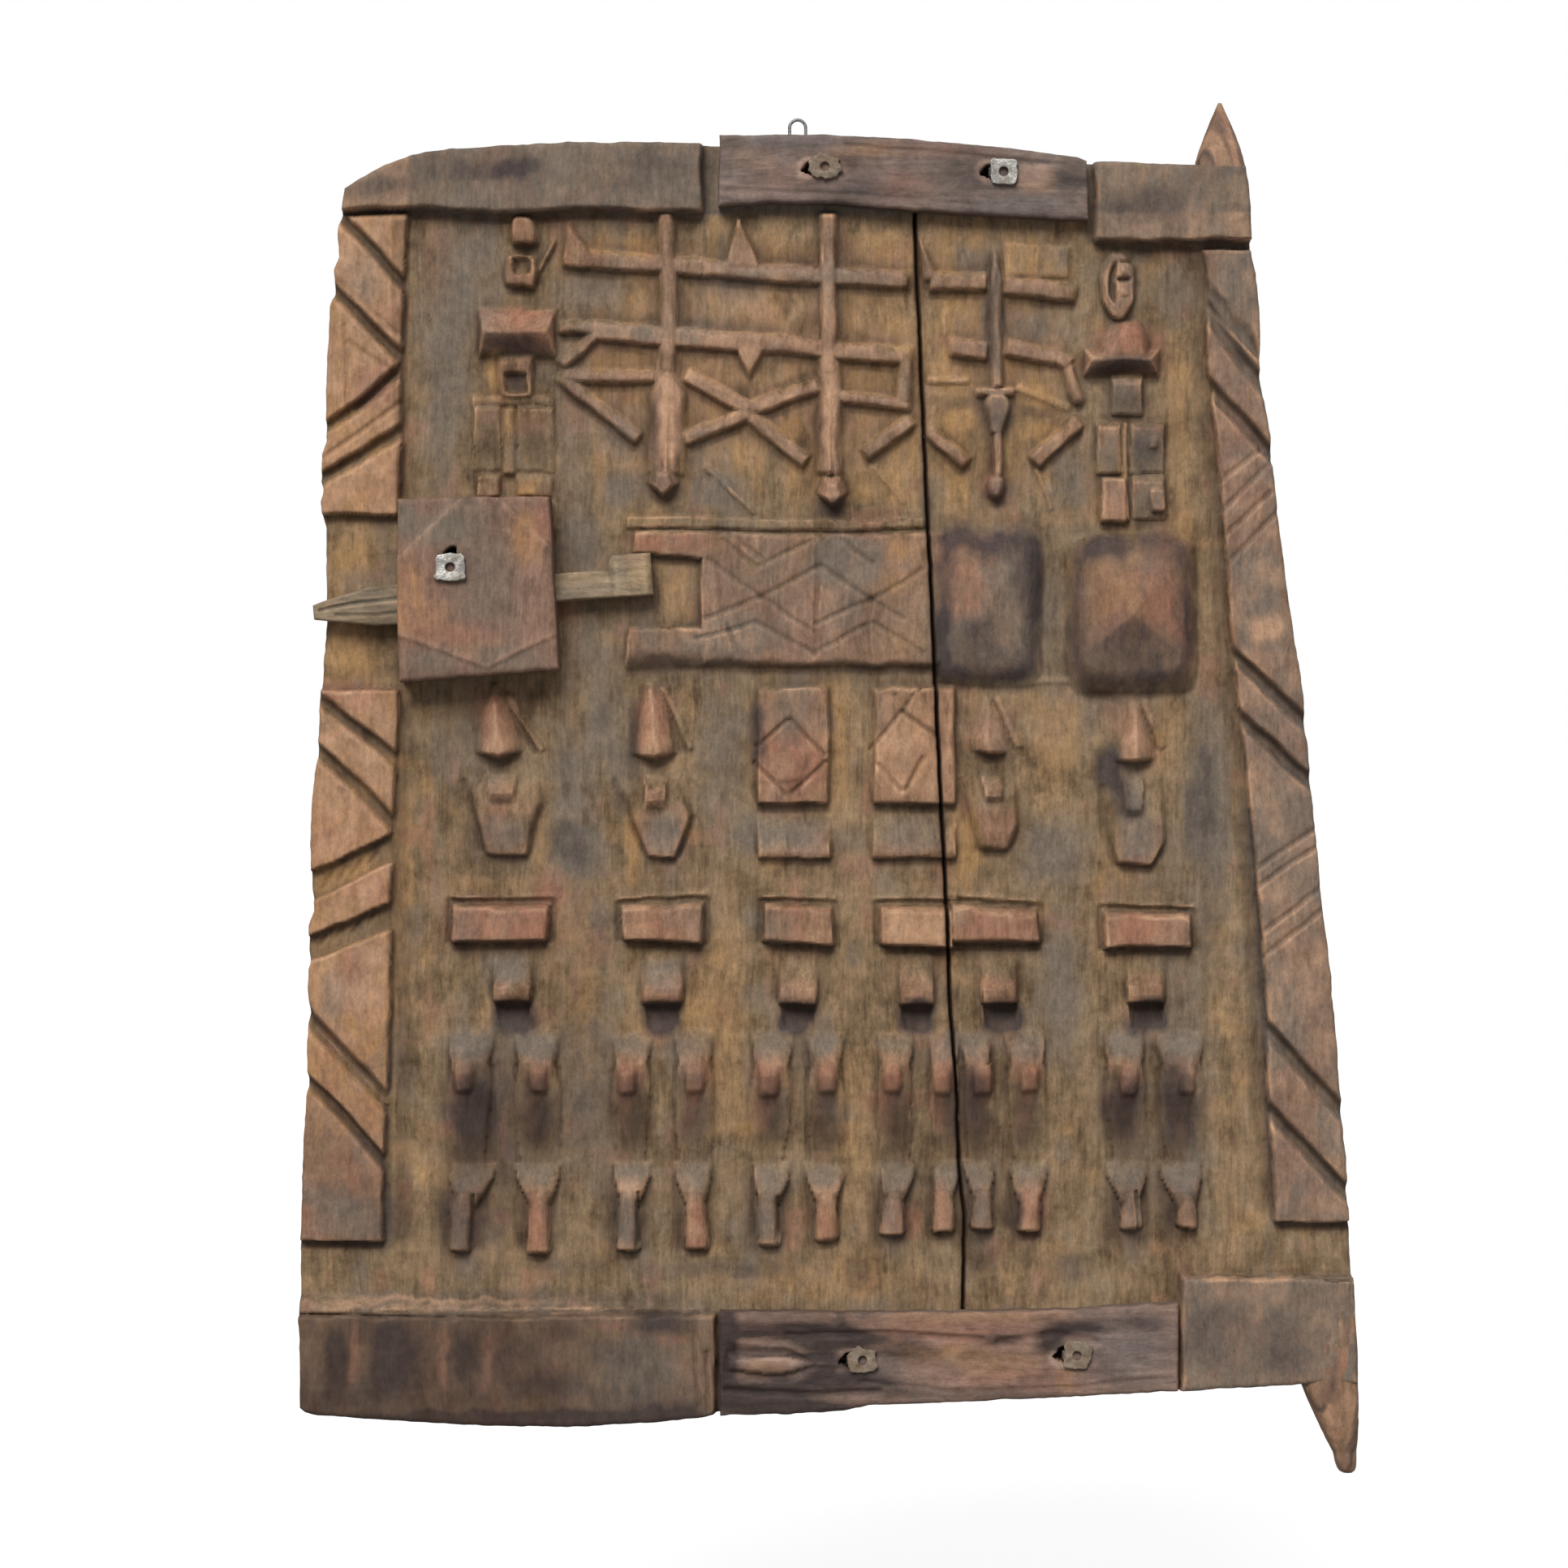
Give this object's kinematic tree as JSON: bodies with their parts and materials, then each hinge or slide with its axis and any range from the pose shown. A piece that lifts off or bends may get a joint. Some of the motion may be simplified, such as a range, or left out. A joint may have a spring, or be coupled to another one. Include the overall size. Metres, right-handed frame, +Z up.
{
  "type": "dogon granary door",
  "caption": "Carved wooden granary door of two pivoted planks held by battens and iron staples, with a sliding bolt in a tumbler lock on its latch side.",
  "frame": {"origin": "middle of the lower pivot's worn journal, on the line that the door turns on", "axes": "+Z up, +X to the right seen from outside, carved face towards -Y, back towards +Y"},
  "size_m": [0.6515, 0.0656, 0.8453],
  "materials": {
    "carved_wood": "old hewn hardwood, worn red-brown on the high points, dull tan and grey in the ground",
    "batten_wood": "dark hewn hardwood with open grain",
    "lock_wood": "handled reddish hardwood, softly polished",
    "bolt_wood": "pale rubbed hardwood",
    "rusted_iron": "forged iron, rusted and caked with dust",
    "bare_iron": "forged iron, rubbed pale grey",
    "plated_steel": "plated picture-hanging hardware, slightly dulled"
  },
  "bodies": {
    "door": {"wide_plank": "carved_wood", "narrow_plank": "carved_wood", "top_batten": "batten_wood", "bottom_batten": "batten_wood", "top_batten_staple_left": "rusted_iron", "top_batten_staple_right": "bare_iron", "bottom_batten_staple_left": "rusted_iron", "bottom_batten_staple_right": "rusted_iron", "lock_case": "lock_wood", "lock_staple": "bare_iron", "hanger_plate": "plated_steel", "hanger_screws": "plated_steel"},
    "bolt": {"lock_bolt": "bolt_wood"},
    "tumbler_1": {"tumbler_pin_1": "rusted_iron"},
    "tumbler_2": {"tumbler_pin_2": "rusted_iron"},
    "tumbler_3": {"tumbler_pin_3": "rusted_iron"},
    "ring": {"hanger_ring": "plated_steel"}
  },
  "joints": [
    {"name": "bolt_slide", "type": "slide", "parent": "door", "child": "bolt", "axis": [0.9976, 0, 0.0698], "range_m": [-0.03, 0.029]},
    {"name": "tumbler_1_lift", "type": "slide", "parent": "door", "child": "tumbler_1", "axis": [-0.0698, 0, 0.9976], "range_m": [0, 0.008]},
    {"name": "tumbler_2_lift", "type": "slide", "parent": "door", "child": "tumbler_2", "axis": [-0.0698, 0, 0.9976], "range_m": [0, 0.008]},
    {"name": "tumbler_3_lift", "type": "slide", "parent": "door", "child": "tumbler_3", "axis": [-0.0698, 0, 0.9976], "range_m": [0, 0.008]},
    {"name": "ring_fold", "type": "hinge", "parent": "door", "child": "ring", "pos_m": [-0.3375, 0.0203, 0.799], "axis": [-1, 0, 0], "range_deg": [0, 175]}
  ]
}
